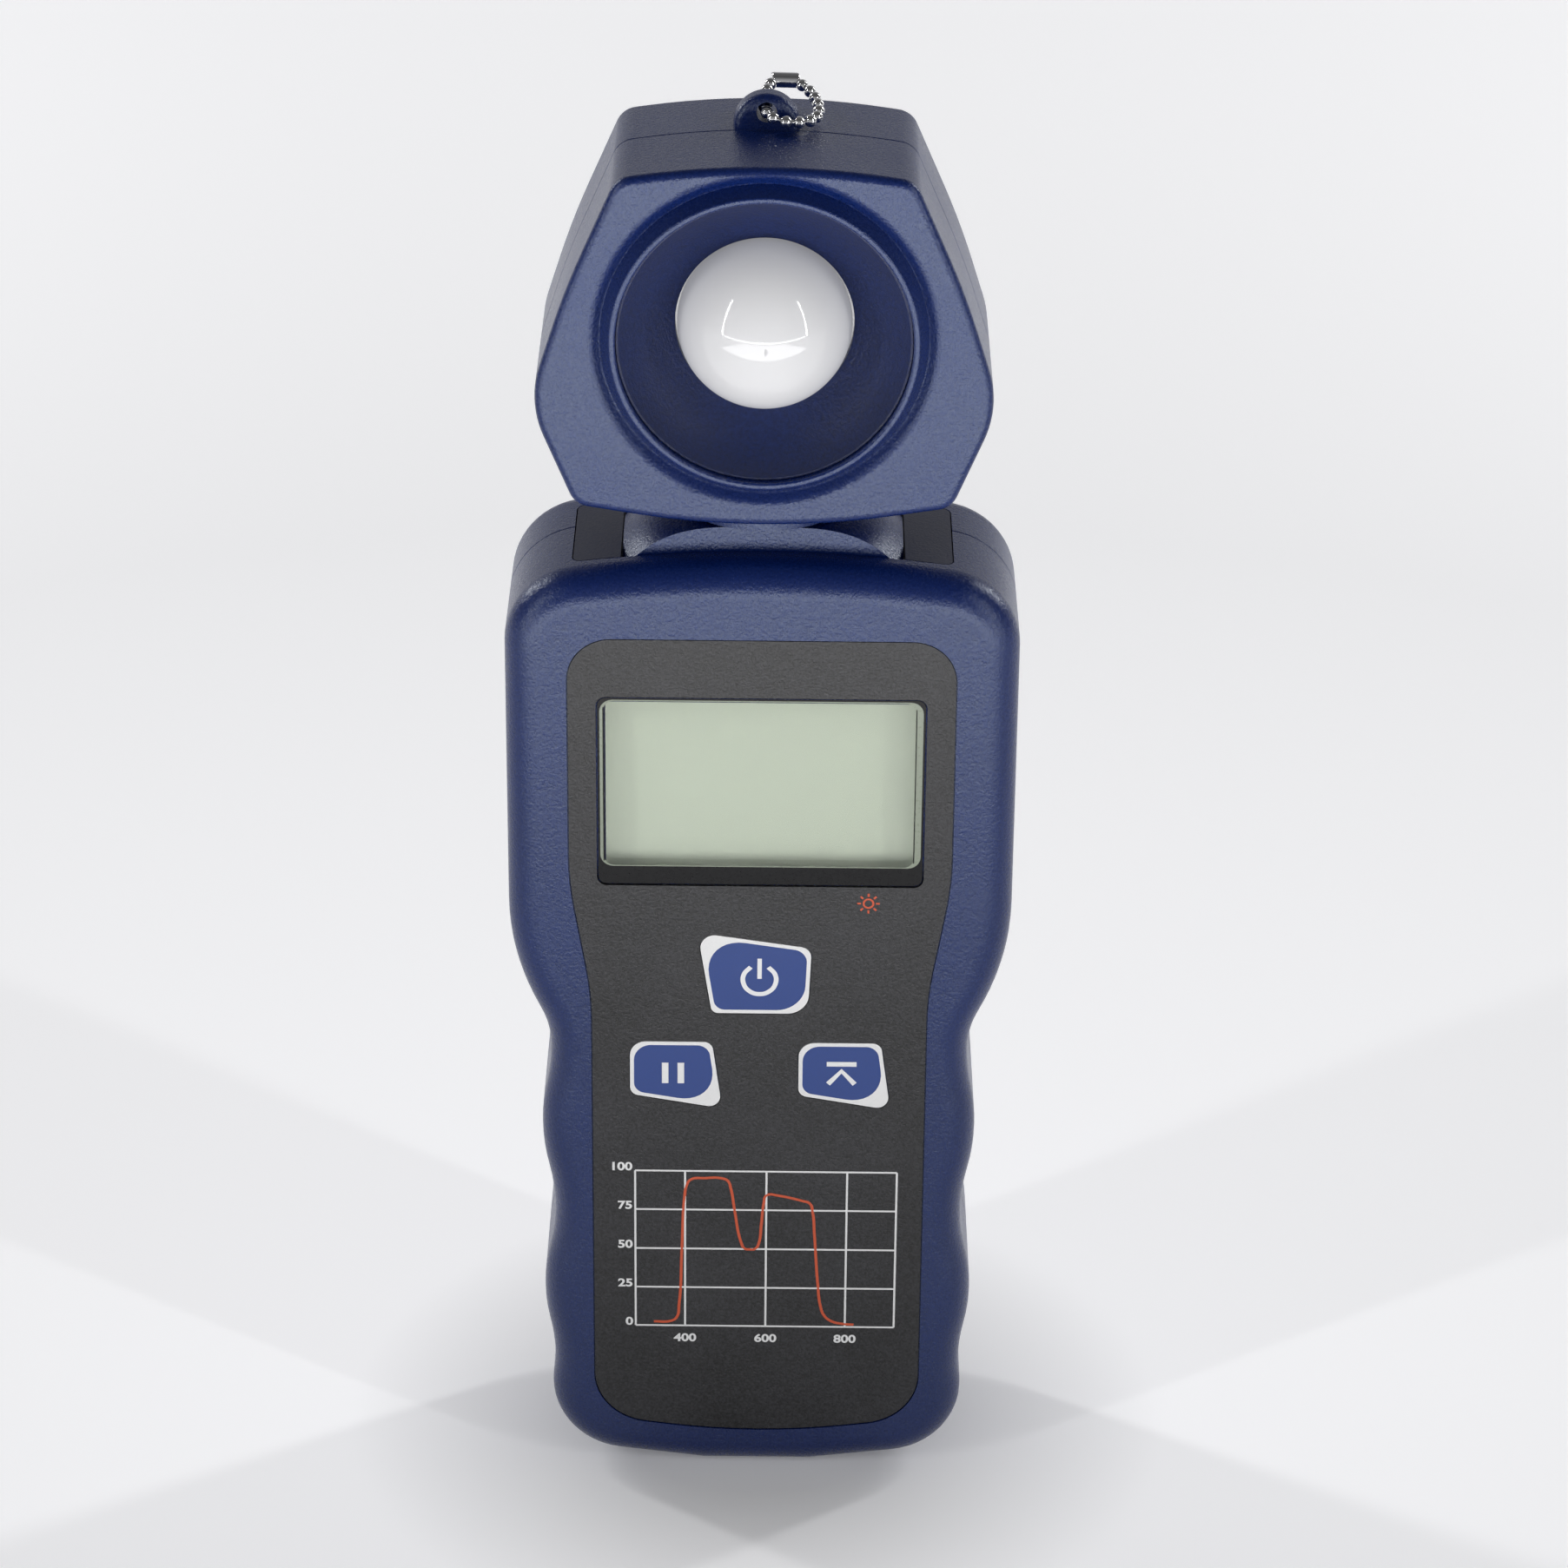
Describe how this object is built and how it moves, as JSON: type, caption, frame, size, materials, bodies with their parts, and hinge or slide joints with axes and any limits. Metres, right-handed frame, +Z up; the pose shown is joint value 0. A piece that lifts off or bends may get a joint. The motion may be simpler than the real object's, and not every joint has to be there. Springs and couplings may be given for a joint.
{
  "type": "handheld light meter",
  "caption": "Upright handheld light meter with a display and keys in a finger-grip case, and a swivelling head with a white diffuser dome and a ball chain.",
  "frame": {"origin": "middle of the flat base that the meter stands on", "axes": "+Z up the meter from base to head, -Y the way the display and the dome face, +X to the right of someone looking at the display"},
  "size_m": [0.0636, 0.0304, 0.1857],
  "materials": {
    "case_plastic": "navy blue moulded plastic, satin with a fine speckled grain",
    "insert_plastic": "charcoal grey moulded plastic, fine grain",
    "faceplate_film": "charcoal printed film, fine speckle",
    "clear_window": "clear acrylic, polished",
    "display_glass": "grey-green liquid crystal cell, all segments off",
    "white_nylon": "moulded nylon",
    "elastomer": "layered conductive elastomer",
    "circuit_board": "green solder mask on glass-epoxy",
    "chip_plastic": "black moulded epoxy",
    "key_plastic": "blue key with a white printed outline and sign",
    "screw_steel": "zinc-plated steel",
    "collar_plastic": "dark acetal, satin",
    "washer_plastic": "acetal",
    "spring_steel": "bright spring steel",
    "contact_metal": "nickel-plated steel",
    "cell_jacket": "plain printed jacket",
    "lead_jacket": "round flexible lead jacket",
    "gasket_rubber": "black sheet rubber",
    "diffuser_white": "glossy white translucent plastic",
    "dish_plastic": "navy blue moulded plastic, smooth satin",
    "filter_glass": "pale blue-green optical glass",
    "diode_can": "metal can",
    "chain_chrome": "bright plated brass"
  },
  "bodies": {
    "case": {"front_shell": "case_plastic", "rear_shell": "case_plastic", "faceplate": "faceplate_film", "display_window": "clear_window", "lcd_frame": "white_nylon", "lcd_cell": "display_glass", "zebra_connectors": "elastomer", "main_board": "circuit_board", "board_chips": "chip_plastic", "board_screws": "screw_steel", "key_switches": "chip_plastic", "case_screws": "screw_steel", "top_insert": "insert_plastic", "neck_turret": "case_plastic", "battery_cells": "cell_jacket", "contact_springs": "spring_steel", "battery_contacts": "contact_metal", "lead_socket": "white_nylon", "sensor_lead": "lead_jacket"},
    "head": {"neck_spindle": "collar_plastic", "friction_washer": "washer_plastic", "stop_plate": "spring_steel", "retaining_clip": "spring_steel", "head_front_shell": "case_plastic", "head_rear_shell": "case_plastic", "head_screws": "screw_steel", "dome_gasket": "gasket_rubber", "diffuser_dome": "diffuser_white", "sensor_dish": "dish_plastic", "sensor_board": "circuit_board", "sensor_screws": "screw_steel", "filter_holder": "white_nylon", "optical_filter": "filter_glass", "photodiode": "diode_can"},
    "power_key": {"power_key": "key_plastic"},
    "hold_key": {"hold_key": "key_plastic"},
    "peak_key": {"peak_key": "key_plastic"},
    "battery_cover": {"battery_cover": "case_plastic"},
    "chain": {"ball_chain": "chain_chrome", "chain_clasp": "chain_chrome"}
  },
  "joints": [
    {"name": "head_swivel", "type": "hinge", "parent": "case", "child": "head", "pos_m": [0, 0, 0.1341], "axis": [0, 0, 1], "range_deg": [-135, 135]},
    {"name": "power_press", "type": "slide", "parent": "case", "child": "power_key", "axis": [0, 1, 0], "range_m": [0, 0.0004], "stiffness_N_per_m": 3000, "springref_m": -0.0003},
    {"name": "hold_press", "type": "slide", "parent": "case", "child": "hold_key", "axis": [0, 1, 0], "range_m": [0, 0.0004], "stiffness_N_per_m": 3000, "springref_m": -0.0003},
    {"name": "peak_press", "type": "slide", "parent": "case", "child": "peak_key", "axis": [0, 1, 0], "range_m": [0, 0.0004], "stiffness_N_per_m": 3000, "springref_m": -0.0003},
    {"name": "cover_hinge", "type": "hinge", "parent": "case", "child": "battery_cover", "pos_m": [0, 0.014, 0.0189], "axis": [-1, 0, 0], "range_deg": [0, 75]},
    {"name": "chain_swing", "type": "hinge", "parent": "head", "child": "chain", "pos_m": [0, 0.003, 0.1836], "axis": [0, 1, 0], "range_deg": [-150, 0]}
  ]
}
